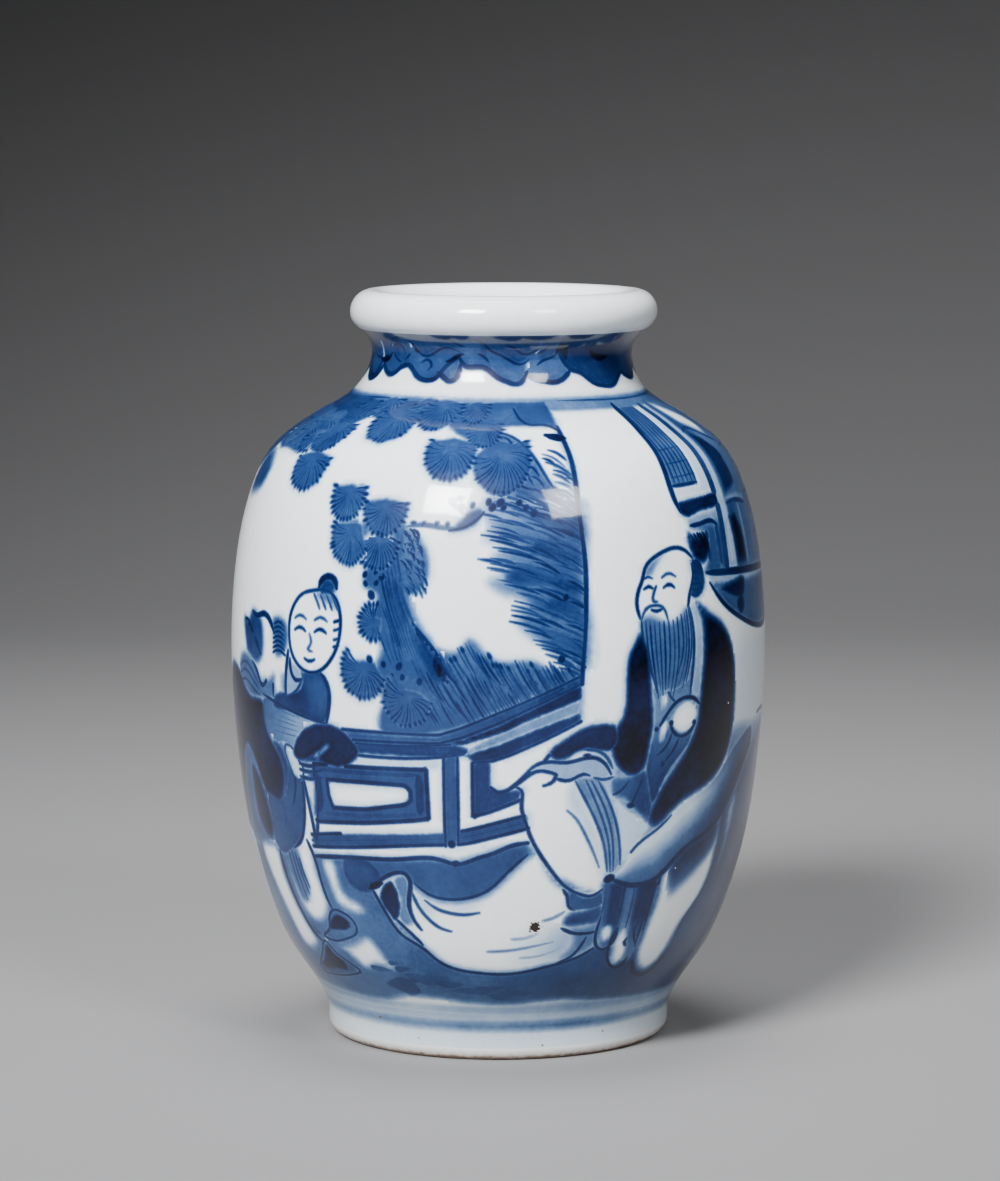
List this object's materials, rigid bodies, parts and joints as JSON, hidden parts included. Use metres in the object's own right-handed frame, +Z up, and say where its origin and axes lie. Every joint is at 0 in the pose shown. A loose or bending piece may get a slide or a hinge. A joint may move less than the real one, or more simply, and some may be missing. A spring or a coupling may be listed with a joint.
{
  "type": "porcelain bottle",
  "caption": "Small porcelain bottle with an ovoid body, short waisted neck, rolled lip and foot ring, painted in underglaze blue with a figure scene.",
  "frame": {"origin": "centre of the foot ring's underside, on the surface the bottle stands on", "axes": "+Z up through the mouth, -Y towards the painted side with the seated elder, +X to that side's right; the neck leans 1 mm towards +X"},
  "size_m": [0.0934, 0.0934, 0.13],
  "materials": {
    "glazed_porcelain": "clear bluish white gloss glaze over underglaze cobalt blue painting"
  },
  "bodies": {
    "root": {"bottle": "glazed_porcelain"}
  },
  "joints": []
}
